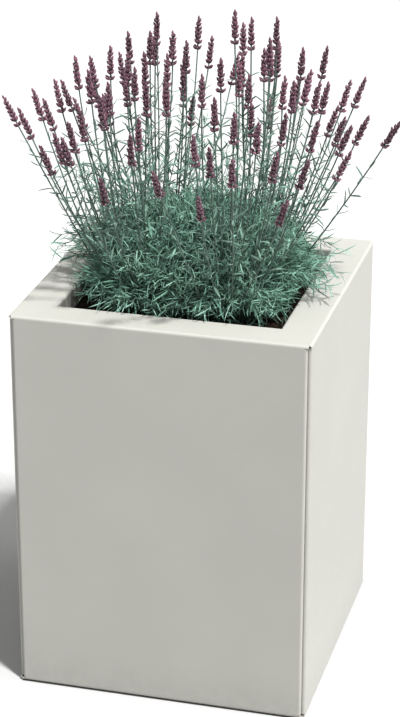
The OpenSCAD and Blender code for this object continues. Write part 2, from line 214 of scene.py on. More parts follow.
class ViewSettings(bpy.types.PropertyGroup):
    """Camera."""

    turn: FloatProperty(
        name="Turn", description="Angle round to the planter's right",
        default=math.radians(15.104), subtype="ANGLE"
    )
    tilt: FloatProperty(
        name="Tilt", description="Angle above the floor", default=math.radians(22.979), subtype="ANGLE"
    )
    distance: FloatProperty(
        name="Distance", description="Distance back from the aim", default=4.6296, unit="LENGTH"
    )
    aim_right: FloatProperty(
        name="Aim to the right", description="Aim's offset across the view",
        default=0.003, unit="LENGTH"
    )
    aim_up: FloatProperty(
        name="Aim upward", description="Aim's offset up the view", default=0.52999, unit="LENGTH"
    )
    lens: FloatProperty(name="Lens", description="Focal length on a 36 mm sensor", default=118.28)


class LightSettings(bpy.types.PropertyGroup):
    """Light and floor."""

    lamp: FloatProperty(name="Lamp", description="Strength of the main light", default=5.38)
    lamp_turn: FloatProperty(
        name="Lamp turn", description="Lamp's direction, from the right towards the front",
        default=math.radians(36.5), subtype="ANGLE"
    )
    lamp_tilt: FloatProperty(
        name="Lamp tilt", description="Lamp's angle above the floor",
        default=math.radians(63.5), subtype="ANGLE"
    )
    lamp_size: FloatProperty(
        name="Lamp size", description="Width of the lamp as seen from the planter",
        default=math.radians(5), subtype="ANGLE"
    )
    side: FloatProperty(
        name="Side light", description="Strength of the broad light from the right", default=1.6
    )
    side_turn: FloatProperty(
        name="Side turn", description="Side light's direction, from the right towards the front",
        default=math.radians(-15), subtype="ANGLE"
    )
    side_tilt: FloatProperty(
        name="Side tilt", description="Side light's angle above the floor",
        default=math.radians(14), subtype="ANGLE"
    )
    side_size: FloatProperty(
        name="Side size", description="Width of the side light as seen from the planter",
        default=math.radians(60), subtype="ANGLE"
    )
    sky: FloatProperty(name="Fill", description="Strength of the light from all round", default=0.52)
    overhead: FloatProperty(
        name="Overhead", description="Extra strength of the fill straight above", default=0.34
    )
    floor: FloatVectorProperty(
        name="Floor", description="Colour of the floor", default=(0.458, 0.458, 0.456), subtype="COLOR"
    )
    contrast: FloatProperty(
        name="Contrast", description="Gamma of the picture, below one for more contrast", default=0.8
    )


# Meshes and finishes


def new_object(name, mesh):
    obj = bpy.data.objects.new(name, mesh)
    bpy.context.scene.collection.objects.link(obj)
    return obj


def closed_mesh(name, points, faces, sharp=math.radians(30)):
    """A mesh whose faces are turned outward and shaded smooth up to an angle."""
    mesh = bpy.data.meshes.new(name)
    mesh.from_pydata([tuple(p) for p in points], [], faces)
    work = bmesh.new()
    work.from_mesh(mesh)
    bmesh.ops.remove_doubles(work, verts=work.verts, dist=1e-7)
    bmesh.ops.recalc_face_normals(work, faces=work.faces)
    work.to_mesh(mesh)
    work.free()
    mesh.shade_smooth()
    mesh.set_sharp_from_angle(angle=sharp)
    return mesh


def joined_loops(loops, first_pole=None, last_pole=None):
    """Points and faces of a skin through loops of equal length, closed by a pole at either end."""
    count = len(loops[0])
    points = [p for loop in loops for p in loop]
    faces = []
    for row in range(len(loops) - 1):
        for i in range(count):
            j = (i + 1) % count
            low, high = row * count, (row + 1) * count
            faces.append((low + i, low + j, high + j, high + i))
    for pole, row in ((first_pole, 0), (last_pole, len(loops) - 1)):
        if pole is not None:
            points.append(pole)
            for i in range(count):
                faces.append((row * count + i, row * count + (i + 1) % count, len(points) - 1))
    return points, faces


class NodeTree:
    """Adds nodes to a tree, and sets or links their inputs."""

    def __init__(self, tree):
        self.tree = tree

    def add(self, kind, inputs=None, **settings):
        node = self.tree.nodes.new(kind)
        for key, value in settings.items():
            setattr(node, key, value)
        self.feed(node, inputs or {})
        return node

    def feed(self, node, inputs):
        for key, value in inputs.items():
            if isinstance(value, bpy.types.NodeSocket):
                self.tree.links.new(value, node.inputs[key])
            else:
                node.inputs[key].default_value = value

    def math(self, operation, *values):
        return self.add("ShaderNodeMath", dict(enumerate(values)), operation=operation).outputs["Value"]


class Finish(NodeTree):
    """A procedural finish whose pattern lies on the piece's Object coordinates."""

    def __init__(self, name, roughness=0.5, metallic=0.0, **sockets):
        self.material = bpy.data.materials.new(name)
        self.material.use_nodes = True
        super().__init__(self.material.node_tree)
        self.surface = self.tree.nodes["Principled BSDF"]
        self.set(Roughness=roughness, Metallic=metallic, **sockets)
        self.place = self.add("ShaderNodeTexCoord").outputs["Object"]

    def set(self, **sockets):
        """Sets or links the shader's own sockets, with _ for the spaces in their names."""
        self.feed(self.surface, {label.replace("_", " "): value for label, value in sockets.items()})

    def noise(self, scale, detail=2.0, roughness=0.5, stretch=(1, 1, 1)):
        place = self.add("ShaderNodeMapping", {"Vector": self.place, "Scale": stretch}).outputs["Vector"]
        node = self.add(
            "ShaderNodeTexNoise",
            {"Vector": place, "Scale": scale, "Detail": detail, "Roughness": roughness},
        )
        return node.outputs["Fac"]

    def attribute(self, name):
        return self.add("ShaderNodeAttribute", attribute_name=name).outputs["Fac"]

    def ramp(self, value, *stops):
        """The colour at a value, between stops that are each a position and its colour."""
        node = self.add("ShaderNodeValToRGB", {"Fac": value})
        elements = node.color_ramp.elements
        while len(elements) < len(stops):
            elements.new(0.5)
        for element, (position, colour) in zip(elements, stops):
            element.position = position
            element.color = (*colour, 1)
        return node.outputs["Color"]

    def tones(self, value, first, last):
        return self.ramp(value, (0.0, first), (1.0, last))

    def grey(self, value):
        return self.add("ShaderNodeCombineColor", {0: value, 1: value, 2: value}).outputs[0]

    def spread(self, value, low, high, start=0.3, end=0.7):
        """Stretches the middle of a pattern, from start to end, over low to high."""
        node = self.add(
            "ShaderNodeMapRange",
            {"Value": value, "From Min": start, "From Max": end, "To Min": low, "To Max": high},
        )
        return node.outputs["Result"]

    def blend(self, share, a, b, mode="MIX"):
        a, b = (c if isinstance(c, bpy.types.NodeSocket) else (*c, 1) for c in (a, b))
        mix = self.add("ShaderNodeMix", {0: share, 6: a, 7: b}, data_type="RGBA", blend_type=mode)
        return mix.outputs[2]

    def bump(self, height, depth, under=None):
        inputs = {"Height": height, "Distance": depth}
        if under is not None:
            inputs["Normal"] = under
        return self.add("ShaderNodeBump", inputs).outputs["Normal"]


def toned(colour, share):
    """A colour made darker, or lighter where the share is above one."""
    return tuple(c * share for c in colour)


DUST_HEIGHT = 0.09


def powder_coat(colour):
    """Satin powder coat: fine orange peel, faint cloudiness and a little dust low down."""
    finish = Finish("powder_coat", roughness=0.42, Specular_IOR_Level=0.3)
    cloud = finish.spread(finish.noise(5.0, 3.0), 0.0, 1.0)
    base = finish.tones(cloud, toned(colour, 0.975), toned(colour, 1.02))
    height = finish.add("ShaderNodeSeparateXYZ", {0: finish.place}).outputs["Z"]
    low = finish.spread(height, 0.0, 1.0, DUST_HEIGHT, 0.0)
    dust = finish.math("MULTIPLY", low, finish.spread(finish.noise(60.0, 4.0, 0.6), 0.0, 0.5))
    peel = finish.noise(900.0, 1.0)
    finish.set(
        Base_Color=finish.blend(dust, base, toned(colour, 0.8)),
        Roughness=finish.spread(finish.noise(300.0, 2.0), 0.38, 0.47),
        Normal=finish.bump(peel, 0.00006, finish.bump(finish.noise(260.0, 1.0), 0.00008)),
    )
    return finish.material


def galvanised(colour):
    """Hot-dipped zinc with its flat crystals, each a little lighter or duller than the next."""
    finish = Finish("galvanised", roughness=0.45, metallic=1.0)
    crystals = finish.add("ShaderNodeTexVoronoi", {"Vector": finish.place, "Scale": 110.0})
    grey = finish.add("ShaderNodeSeparateColor", {0: crystals.outputs["Color"]}).outputs[0]
    finish.set(
        Base_Color=finish.tones(grey, toned(colour, 0.82), toned(colour, 1.15)),
        Roughness=finish.spread(grey, 0.36, 0.55, 0.0, 1.0),
        Normal=finish.bump(finish.noise(420.0, 3.0), 0.00005),
    )
    return finish.material


def plated_steel(colour):
    """Bright zinc plating over turned and pressed steel."""
    finish = Finish("zinc_plated_steel", roughness=0.32, metallic=1.0)
    tint = finish.spread(finish.noise(90.0, 3.0), 0.0, 1.0)
    warm = (colour[0] * 1.1, colour[1] * 1.06, colour[2] * 0.95)
    finish.set(
        Base_Color=finish.tones(tint, toned(colour, 0.9), warm),
        Roughness=finish.spread(finish.noise(700.0, 2.0), 0.24, 0.42),
        Normal=finish.bump(finish.noise(500.0, 2.0, stretch=(1, 1, 6)), 0.00004),
    )
    return finish.material


def moulded(name, colour, grain, depth, roughness):
    """Black moulded plastic or rubber with a fine spark-eroded grain."""
    finish = Finish(name, roughness=roughness, Specular_IOR_Level=0.35)
    patch = finish.spread(finish.noise(40.0, 3.0), 0.0, 1.0)
    finish.set(
        Base_Color=finish.tones(patch, toned(colour, 0.85), toned(colour, 1.3)),
        Roughness=finish.spread(finish.noise(grain * 0.4, 2.0), roughness - 0.06, roughness + 0.08),
        Normal=finish.bump(finish.noise(grain, 2.0), depth),
    )
    return finish.material


def fleece_felt(colour):
    """Needled filter fleece: matted fibres that lie all ways."""
    finish = Finish("fleece", roughness=0.95, Specular_IOR_Level=0.15, Sheen_Weight=0.3)
    first = finish.noise(260.0, 4.0, 0.65, stretch=(5, 1, 1))
    second = finish.noise(260.0, 4.0, 0.65, stretch=(1, 5, 1))
    fibres = finish.math("MAXIMUM", first, second)
    finish.set(
        Base_Color=finish.tones(finish.spread(fibres, 0.0, 1.0, 0.4, 0.7), toned(colour, 0.7), colour),
        Normal=finish.bump(fibres, 0.0006),
    )
    return finish.material


def potting_soil(moist_and_hollow_shade, dry):
    """Dark moist potting soil with paler crumbs; its colour follows the bump pattern, so the hollows
    carry painted shade.
    """
    finish = Finish("soil", roughness=0.92, Specular_IOR_Level=0.25)
    crumbs = finish.noise(240.0, 5.0, 0.65)
    patches = finish.noise(26.0, 3.0)
    # Colour follows the crumb pattern that also makes the bump: painted shade in its hollows, and moist
    # and dry tone in the larger patches
    hollow_shade_and_tone = finish.math(
        "ADD", finish.math("MULTIPLY", crumbs, 0.7), finish.math("MULTIPLY", patches, 0.3)
    )
    finish.set(
        Base_Color=finish.tones(finish.spread(hollow_shade_and_tone, 0.0, 1.0, 0.35, 0.66), moist_and_hollow_shade, dry),
        Normal=finish.bump(crumbs, 0.002),
    )
    return finish.material


def leafy(name, dark, mid, light):
    """Leaf with a fine grey down, darker at its foot, and lighter or darker from leaf to leaf."""
    finish = Finish(name, roughness=0.66, Specular_IOR_Level=0.25, Sheen_Weight=0.15, Sheen_Roughness=0.5)
    own = finish.ramp(finish.attribute("shade"), (0.0, dark), (0.5, mid), (1.0, light))
    foot = finish.grey(finish.spread(finish.attribute("along"), 0.72, 1.0, 0.0, 0.6))
    flecks = finish.grey(finish.spread(finish.noise(350.0, 3.0), 0.88, 1.1))
    finish.set(
        Base_Color=finish.blend(1.0, finish.blend(1.0, own, foot, "MULTIPLY"), flecks, "MULTIPLY"),
        Normal=finish.bump(finish.noise(900.0, 2.0), 0.00015),
    )
    return finish.material


def petals(dark, light):
    """Mauve bud, darkest at its foot and palest where it opens."""
    finish = Finish(
        "flower_spikes", roughness=0.7, Specular_IOR_Level=0.25, Sheen_Weight=0.35, Sheen_Roughness=0.45
    )
    along = finish.math("MULTIPLY", finish.attribute("along"), 0.55)
    shade = finish.math("MULTIPLY", finish.attribute("shade"), 0.45)
    value = finish.math("ADD", along, shade)
    middle = tuple((a + b) / 2.4 for a, b in zip(dark, light))
    finish.set(
        Base_Color=finish.ramp(value, (0.05, dark), (0.5, middle), (0.95, light)),
        Normal=finish.bump(finish.noise(1100.0, 2.0), 0.0002),
    )
    return finish.material


# Geometry node trees


KINDS = (1, 2, 3, 4)


class GrowthTree(NodeTree):
    """Geometry tree with named inputs that ends in Realize Instances and Set Material."""

    def __init__(self, name, inputs):
        super().__init__(bpy.data.node_groups.new(name, "GeometryNodeTree"))
        face = self.tree.interface
        face.new_socket("Geometry", in_out="INPUT", socket_type="NodeSocketGeometry")
        face.new_socket("Geometry", in_out="OUTPUT", socket_type="NodeSocketGeometry")
        self.keys = {}
        for label, kind in (inputs | {"Material": "NodeSocketMaterial"}).items():
            self.keys[label] = face.new_socket(label, in_out="INPUT", socket_type=kind).identifier
        self.source = self.add("NodeGroupInput").outputs

    def named(self, name, kind="FLOAT"):
        node = self.add("GeometryNodeInputNamedAttribute", {"Name": name}, data_type=kind)
        return node.outputs["Attribute"]

    def shape(self, label):
        return self.add("GeometryNodeObjectInfo", {"Object": self.source[label]}).outputs["Geometry"]

    def rotation(self, euler):
        return self.add("FunctionNodeEulerToRotation", {"Euler": euler}).outputs["Rotation"]

    def joined(self, *parts):
        node = self.add("GeometryNodeJoinGeometry")
        for part in parts:
            self.feed(node, {"Geometry": part})
        return node.outputs["Geometry"]

    def close(self, geometry):
        real = self.add("GeometryNodeRealizeInstances", {"Geometry": geometry}).outputs["Geometry"]
        smooth = self.add("GeometryNodeSetShadeSmooth", {"Geometry": real}).outputs["Geometry"]
        done = self.add(
            "GeometryNodeSetMaterial", {"Geometry": smooth, "Material": self.source["Material"]}
        )
        self.add("NodeGroupOutput", {"Geometry": done.outputs["Geometry"]})

    def grow(self, name, mesh, keep=(), **values):
        """Runs the tree on a mesh and returns the result as a plain mesh object."""
        obj = new_object(name, mesh)
        modifier = obj.modifiers.new(name, "NODES")
        modifier.node_group = self.tree
        for label, value in values.items():
            modifier[self.keys[label.replace("_", " ")]] = value
        graph = bpy.context.evaluated_depsgraph_get()
        result = bpy.data.meshes.new_from_object(
            obj.evaluated_get(graph), preserve_all_data_layers=True, depsgraph=graph
        )
        obj.modifiers.clear()
        obj.data = result
        bpy.data.meshes.remove(mesh)
        for layer in [a.name for a in result.attributes if not a.is_internal and not a.is_required]:
            if layer not in keep and layer not in ("material_index", "sharp_face", "sharp_edge"):
                result.attributes.remove(result.attributes[layer])
        result.name = name
        return obj


def plant_tree():
    """Stems are swept along the mesh's edges; leaves or buds stand on its loose points."""
    inputs = {f"Kind {n}": "NodeSocketObject" for n in KINDS}
    tree = GrowthTree("plant_growth", inputs | {"Sides": "NodeSocketInt"})
    whole = tree.source["Geometry"]
    curve = tree.add("GeometryNodeMeshToCurve", {"Mesh": whole}).outputs["Curve"]
    ring = tree.add(
        "GeometryNodeCurvePrimitiveCircle", {"Resolution": tree.source["Sides"], "Radius": 1.0}
    ).outputs["Curve"]
    stems = tree.add(
        "GeometryNodeCurveToMesh",
        {"Curve": curve, "Profile Curve": ring, "Scale": tree.named("thickness"), "Fill Caps": True},
    ).outputs["Mesh"]
    kinds = [
        tree.add("GeometryNodeGeometryToInstance", {"Geometry": tree.shape(f"Kind {n}")}).outputs[0]
        for n in KINDS
    ]
    placed = tree.add(
        "GeometryNodeInstanceOnPoints",
        {"Points": whole, "Selection": tree.named("sprout", "BOOLEAN"), "Instance": tree.joined(*kinds),
         "Pick Instance": True, "Instance Index": tree.named("kind", "INT"),
         "Rotation": tree.rotation(tree.named("turn", "FLOAT_VECTOR")), "Scale": tree.named("size")},
    ).outputs["Instances"]
    tree.close(tree.joined(stems, placed))
    return tree


SPIN_SEED = 3
SIZE_SEED = 7


def crumb_tree():
    """Crumbs scattered over the faces that a point attribute marks."""
    inputs = {name: "NodeSocketFloat" for name in ("Density", "Smallest", "Largest")}
    tree = GrowthTree("soil_crumbs", inputs | {"Crumb": "NodeSocketObject", "Seed": "NodeSocketInt"})
    whole = tree.source["Geometry"]
    density = tree.math("MULTIPLY", tree.named("open"), tree.source["Density"])
    spots = tree.add(
        "GeometryNodeDistributePointsOnFaces",
        {"Mesh": whole, "Density": density, "Seed": tree.source["Seed"]},
    ).outputs["Points"]
    spin = tree.add(
        "FunctionNodeRandomValue", {"Max": (math.tau,) * 3, "Seed": SPIN_SEED}, data_type="FLOAT_VECTOR"
    ).outputs["Value"]
    size = tree.add(
        "FunctionNodeRandomValue",
        {2: tree.source["Smallest"], 3: tree.source["Largest"], "Seed": SIZE_SEED}, data_type="FLOAT",
    ).outputs[1]
    crumbs = tree.add(
        "GeometryNodeInstanceOnPoints",
        {"Points": spots, "Instance": tree.shape("Crumb"), "Rotation": tree.rotation(spin),
         "Scale": size},
    ).outputs["Instances"]
    tree.close(tree.joined(whole, crumbs))
    return tree


def dress(nodes, material):
    """Gives CAD nodes a finish and leaves their meshes as they are."""
    for node in nodes:
        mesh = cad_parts[node].data
        mesh.materials.clear()
        mesh.materials.append(material)


def declare(obj, body, slot, *nodes):
    """Attaches a new piece to what it rides on and hides the CAD nodes that it stands for. The slot is
    not used.
    """
    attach(obj, body)
    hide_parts(*nodes)


# Folded body


class FoldedSheet:
    """One sheet: outer points with the inner points behind them, joined into a closed shell."""

    def __init__(self):
        self.found = {}
        self.outer = []
        self.inner = []
        self.faces = []

    def point(self, pair):
        key = tuple(round(c, 6) for c in pair[0])
        if key not in self.found:
            self.found[key] = len(self.outer)
            self.outer.append(pair[0])
            self.inner.append(pair[1])
        return self.found[key]

    def patch(self, rows):
        rows = [[self.point(pair) for pair in row] for row in rows]
        for low, high in zip(rows, rows[1:]):
            self.faces += zip(low, low[1:], high[1:], high)

    def mesh(self, name):
        uses = {}
        for face in self.faces:
            for a, b in zip(face, face[1:] + face[:1]):
                uses.setdefault(frozenset((a, b)), []).append((a, b))
        shift = len(self.outer)
        faces = list(self.faces) + [tuple(i + shift for i in reversed(face)) for face in self.faces]
        for sides in uses.values():
            if len(sides) == 1:
                a, b = sides[0]
                faces.append((b, a, a + shift, b + shift))
        return closed_mesh(name, self.outer + self.inner, faces)


BEND_STEPS = 8
CORNER_STEPS = 12
# Degrees that the sheet turns at a corner
CORNER_FOLD = 135
# Width of the flat strip beside each bend, which keeps the shading of the flats even
FLAT_STRIP = 0.0012


def panel_mesh(name, quarter, sheet):
    """Wall, rim strip, lip, base return and the two corner folds, all bent from one sheet."""
    t, r, strip = sheet.thickness, sheet.bend_radius, FLAT_STRIP
    stop = HALF - sheet.relief_square
    wall_end = HALF - r * (1 + math.sqrt(2))
    turn = Matrix.Rotation(math.pi / 2 * quarter, 3, "Z")
    shell = FoldedSheet()

    def at(x, inward, z):
        return turn @ Vector((x, -HALF + inward, z))

    def bend(centre, height, start, end):
        for i in range(BEND_STEPS + 1):
            a = math.radians(start + (end - start) * i / BEND_STEPS)
            c, s = math.cos(a), math.sin(a)
            yield (centre + r * c, height + r * s), (centre + (r - t) * c, height + (r - t) * s)

    top = [
        *bend(r, Z_TOP - r, 180, 90),
        ((r + strip, Z_TOP), (r + strip, Z_TOP - t)),
        ((RIM_WIDTH - r - strip, Z_TOP), (RIM_WIDTH - r - strip, Z_TOP - t)),
        *bend(RIM_WIDTH - r, Z_TOP - r, 90, 0),
        ((RIM_WIDTH, Z_TOP - r - strip), (RIM_WIDTH - t, Z_TOP - r - strip)),
        ((RIM_WIDTH, Z_TOP - sheet.lip), (RIM_WIDTH - t, Z_TOP - sheet.lip)),
    ]
    base = [
        *bend(r, Z_BOTTOM + r, 180, 270),
        ((r + strip, Z_BOTTOM), (r + strip, Z_BOTTOM + t)),
        ((sheet.base_return, Z_BOTTOM), (sheet.base_return, Z_BOTTOM + t)),
    ]
    shares = [wall_end / stop, (wall_end - strip) / stop]
    shares = [-1, -shares[0], -shares[1], shares[1], shares[0], 1]

    def width(inward):
        return HALF - max(inward, sheet.relief_square)

    for profile in (top, base):
        shell.patch([
            [(at(share * width(y), y, z), at(share * width(v), v, w)) for share in shares]
            for (y, z), (v, w) in profile
        ])
    low, high = Z_BOTTOM + r, Z_TOP - r
    slot = sheet.relief_slot
    levels = [low + slot, low + slot + strip, high - slot - strip, high - slot]
    shell.patch([
        [(at(x, 0, z), at(x, t, z)) for x in (-wall_end, strip - wall_end, wall_end - strip, wall_end)]
        for z in (low, *levels, high)
    ])
    for side in (-1, 1):
        fold = []
        for i in range(CORNER_STEPS + 1):
            a = math.radians(-90 + CORNER_FOLD * i / CORNER_STEPS)
            c, s = math.cos(a), math.sin(a)
            fold.append(((wall_end + r * c, r + r * s), (wall_end + (r - t) * c, r + (r - t) * s)))
        (x, y), (u, v) = fold[-1]
        for run in (strip, sheet.corner_return):
            d = run * math.sqrt(0.5)
            fold.append(((x - d, y + d), (u - d, v + d)))
        shell.patch([
            [(at(side * x, y, z), at(side * u, v, z)) for (x, y), (u, v) in fold] for z in levels
        ])
    return shell.mesh(name)


# Soil and fleece


def rounded_point(angle, half, radius):
    """Where a ray from the middle meets a square with rounded corners."""
    c, s = math.cos(angle), math.sin(angle)
    reach = half / max(abs(c), abs(s))
    inner = half - radius
    if abs(reach * c) > inner and abs(reach * s) > inner:
        middle = (abs(c) + abs(s)) * inner
        reach = middle + math.sqrt(max(middle ** 2 - 2 * inner ** 2 + radius ** 2, 0))
    return reach * c, reach * s


def rounded_loop(half, radius, z, count=192, share=1.0):
    angles = (math.tau * (i + 0.5) / count for i in range(count))
    places = (rounded_point(angle, half, radius) for angle in angles)
    return [Vector((x * share, y * share, z)) for x, y in places]


CORNER_RADIUS = 0.012
INNER_RADIUS = 0.0105
SOIL_RINGS = 30
SOIL_EDGE = 0.004
SOIL_SPAN = 0.97
COVER_RISE = 0.0012
HEAP_HEIGHT = 0.012
HEAP_REACH = 0.06
# Depth, scale and level in the pattern of the soil's lumps
LUMPS = ((0.003, 22, 0.3), (0.0016, 70, 0.7))
# Shares of the way from the middle to the lip
LEVEL_EDGE = 0.985
LEVEL_RAMP = 0.06
CRUMB_EDGE = 0.975
CRUMB_SEED = 11


def soil_height(x, y):
    """Height of the soil's top: level beside the lip, heaped a little round each crown."""
    out = max(abs(x), abs(y)) / OPENING
    heap = 0.0
    for sx, sy in CORNERS.values():
        gap = math.hypot(x - sx * CROWN_INSET, y - sy * CROWN_INSET)
        heap = max(heap, HEAP_HEIGHT * math.exp(-(gap / HEAP_REACH) ** 2))
    rough = sum(depth * noise.noise(Vector((x, y, level)) * scale) for depth, scale, level in LUMPS)
    fade = min(1.0, max(0.0, (LEVEL_EDGE - out) / LEVEL_RAMP))
    return SOIL_HIGH.z + fade * (heap + rough)


def soil_mesh(name):
    fill, cover = -FLEECE_LOW.x, -SOIL_LOW.x
    loops = [
        rounded_loop(fill, INNER_RADIUS, SOIL_LOW.z, share=0.5),
        rounded_loop(fill, INNER_RADIUS, SOIL_LOW.z),
        rounded_loop(fill, INNER_RADIUS, LINER_TOP),
        rounded_loop(cover, CORNER_RADIUS, LINER_TOP),
        rounded_loop(cover, CORNER_RADIUS, SOIL_HIGH.z - COVER_RISE),
    ]
    for ring in range(SOIL_RINGS):
        share = 1 - SOIL_EDGE - ring / SOIL_RINGS * SOIL_SPAN
        loop = rounded_loop(cover, CORNER_RADIUS, 0, share=share)
        loops.append([Vector((p.x, p.y, soil_height(p.x, p.y))) for p in loop])
    points, faces = joined_loops(
        loops, Vector((0, 0, SOIL_LOW.z)), Vector((0, 0, soil_height(0, 0)))
    )
    mesh = closed_mesh(name, points, faces, sharp=math.radians(50))
    layer = mesh.attributes.new("open", "FLOAT", "POINT")
    high = SOIL_HIGH.z - COVER_RISE / 2
    edge = cover * CRUMB_EDGE
    layer.data.foreach_set(
        "value", [float(v.co.z > high and max(abs(v.co.x), abs(v.co.y)) < edge) for v in mesh.vertices]
    )
    return mesh


def crumb_object(core=0.75, lump=0.5, grain=2.3, flattening=0.7):
    """A lumpy crumb of about unit radius, a little flat."""
    work = bmesh.new()
    bmesh.ops.create_icosphere(work, subdivisions=1, radius=1.0)
    for vert in work.verts:
        vert.co *= core + lump * noise.noise(vert.co * grain + Vector((4, 1, 7)))
        vert.co.z *= flattening
    mesh = bpy.data.meshes.new("crumb")
    work.to_mesh(mesh)
    work.free()
    return bpy.data.objects.new("crumb", mesh)


FLEECE_CELLS = 40
FLEECE_SKIN = 0.0007
FLEECE_WAVE = 0.0002
FLEECE_GRAIN = 30


def fleece_mesh(name):
    """A laid square of felt with rounded corners, a little thick and thin."""
    half = FLEECE_HIGH.x
    middle = (FLEECE_LOW.z + FLEECE_HIGH.z) / 2
    rings = [
        rounded_loop(half, INNER_RADIUS, 0, count=160, share=1 - k / FLEECE_CELLS)
        for k in range(FLEECE_CELLS)
    ]

    def height(p, up):
        return middle + up * FLEECE_SKIN + FLEECE_WAVE * noise.noise(p * FLEECE_GRAIN)

    def face(up):
        return [[Vector((p.x, p.y, height(p, up))) for p in ring] for ring in rings]

    loops = face(-1)[::-1] + face(1)
    points, faces = joined_loops(
        loops, Vector((0, 0, middle - FLEECE_SKIN)), Vector((0, 0, middle + FLEECE_SKIN))
    )
    return closed_mesh(name, points, faces, sharp=math.radians(60))


# Lavender


# Width of a leaf as a share of its length
LEAF_RATIO = 0.07
STEM_LEAF_RATIO = 0.11
# Share of the way to the tip, and width there
LEAF_RINGS = ((0.0, 0.5), (0.33, 1.0), (0.72, 0.86))
# Points of a leaf's section, with its keel behind, in half widths
LEAF_SECTION = ((0.18, 1), (0.18, -1), (-0.42, 0))
# Bow at the tip and twist, for each kind of leaf
LEAF_SHAPES = ((0.22, 0.3), (0.38, -0.4), (0.54, 0.5), (-0.26, 0.2))
TIP_DROP = 0.25


def with_along(mesh):
    """Stores each point's share of the way to the tip."""
    top = max(v.co.z for v in mesh.vertices)
    layer = mesh.attributes.new("along", "FLOAT", "POINT")
    layer.data.foreach_set("value", [max(v.co.z, 0) / top for v in mesh.vertices])
    return mesh


def leaf_object(name, ratio, bow, twist):
    """A keeled narrow leaf of unit length along +Z that bows toward +X."""
    loops = []
    for share, width in LEAF_RINGS:
        centre = Vector((bow * share ** 2, 0, share * (1 - TIP_DROP * abs(bow) * share)))
        turn = Matrix.Rotation(twist * share, 3, "Z")
        half = ratio / 2 * width
        loops.append([centre + turn @ Vector((x * half, y * half, 0)) for x, y in LEAF_SECTION])
    points, faces = joined_loops(loops, last_pole=Vector((bow, 0, 1 - TIP_DROP * abs(bow))))
    faces.insert(0, (0, 1, 2))
    return bpy.data.objects.new(name, with_along(closed_mesh(name, points, faces)))


def leaf_kinds(name, ratio):
    """The four leaf shapes at one width, as inputs of the plant tree."""
    return {
        f"Kind_{n}": leaf_object(f"{name}_{n}", ratio, *shape) for n, shape in zip(KINDS, LEAF_SHAPES)
    }


BUD_SIDES = 5
BUD_RINGS = ((0.22, 0.14), (0.52, 0.235), (0.84, 0.13))


def bud_object():
    """A pointed bud of unit length along +Z."""
    angles = [math.tau * i / BUD_SIDES for i in range(BUD_SIDES)]
    loops = [[Vector((w * math.cos(a), w * math.sin(a), z)) for a in angles] for z, w in BUD_RINGS]
    points, faces = joined_loops(loops, Vector((0, 0, 0)), Vector((0, 0, 1)))
    return bpy.data.objects.new("bud", with_along(closed_mesh("bud", points, faces)))


# The layers of a growth's points: name, type and the field that holds the value
POINT_LAYERS = (
    ("sprout", "BOOLEAN", "value"), ("thickness", "FLOAT", "value"), ("turn", "FLOAT_VECTOR", "vector"),
    ("size", "FLOAT", "value"), ("kind", "INT", "value"), ("shade", "FLOAT", "value"),
)


class Growth:
    """Stems as chains of points, and sprouts as single points with their turn, size, kind and shade."""

    def __init__(self):
        self.points = []
        self.edges = []
        self.rows = []

    def stem(self, path, start_radius, end_radius, shade):
        first = len(self.points)
        for i, point in enumerate(path):
            radius = start_radius + (end_radius - start_radius) * (i / (len(path) - 1))
            self.points.append(point)
            self.rows.append((False, radius, (0, 0, 0), 0, 0, shade))
        self.edges += [(i, i + 1) for i in range(first, len(self.points) - 1)]

    def sprout(self, place, direction, lean, size, kind, shade):
        """lean is the side to which the sprout bows."""
        ahead = direction.normalized()
        side = (lean - lean.dot(ahead) * ahead).normalized()
        turn = Matrix((side, ahead.cross(side), ahead)).transposed().to_euler("XYZ")
        self.points.append(place)
        self.rows.append((True, 0.0, tuple(turn), size, kind, shade))

    def mesh(self, name):
        mesh = bpy.data.meshes.new(name)
        mesh.from_pydata([tuple(p) for p in self.points], self.edges, [])
        for (label, kind, field), values in zip(POINT_LAYERS, zip(*self.rows)):
            layer = mesh.attributes.new(label, kind, "POINT")
            layer.data.foreach_set(field, np.array(values).ravel())
        return mesh


def bezier(start, middle, end, count):
    path = []
    for i in range(count + 1):
        s = i / count
        path.append(start * (1 - s) ** 2 + middle * (2 * s * (1 - s)) + end * s ** 2)
    return path


def walk(path, spacing, start):
    """Places at even distances along a path from a share of its length on, with tangents and shares."""
    lengths = [(b - a).length for a, b in zip(path, path[1:])]
    total = sum(lengths)
    want, run = start * total, 0.0
    for (a, b), length in zip(zip(path, path[1:]), lengths):
        while want <= run + length:
            yield a.lerp(b, (want - run) / length), (b - a) / length, want / total
            want += spacing
        run += length


def any_side(rng, ahead):
    """A random direction square to another."""
    loose = Vector((rng.gauss(0, 1), rng.gauss(0, 1), rng.gauss(0, 1)))
    return (loose - loose.dot(ahead) * ahead).normalized()


def either_way(rng, reach):
    return rng.uniform(-reach, reach)


def splayed(ahead, across, azimuth, splay):
    """The side of a branch at an azimuth round ahead, and its direction, splay degrees off ahead."""
    out = Matrix.Rotation(azimuth, 3, ahead) @ across
    angle = math.radians(splay)
    return out, ahead * math.cos(angle) + out * math.sin(angle)


def within_one(value):
    return min(1, max(0, value))


RIM_CLEARANCE = 0.0025
LIP_CLEARANCE = 0.003


def clears_rim(places):
    """True where no place is inside the lip's metal or under the rim."""
    edge = OPENING - LIP_CLEARANCE
    return not any(p.z < Z_TOP + RIM_CLEARANCE and max(abs(p.x), abs(p.y)) > edge for p in places)


# Share of a leaf's length and of its bow, where it is tested against the rim
LEAF_TESTS = ((0, 0), (0.5, 0.25), (0.95, 1))
CURL = 0.5


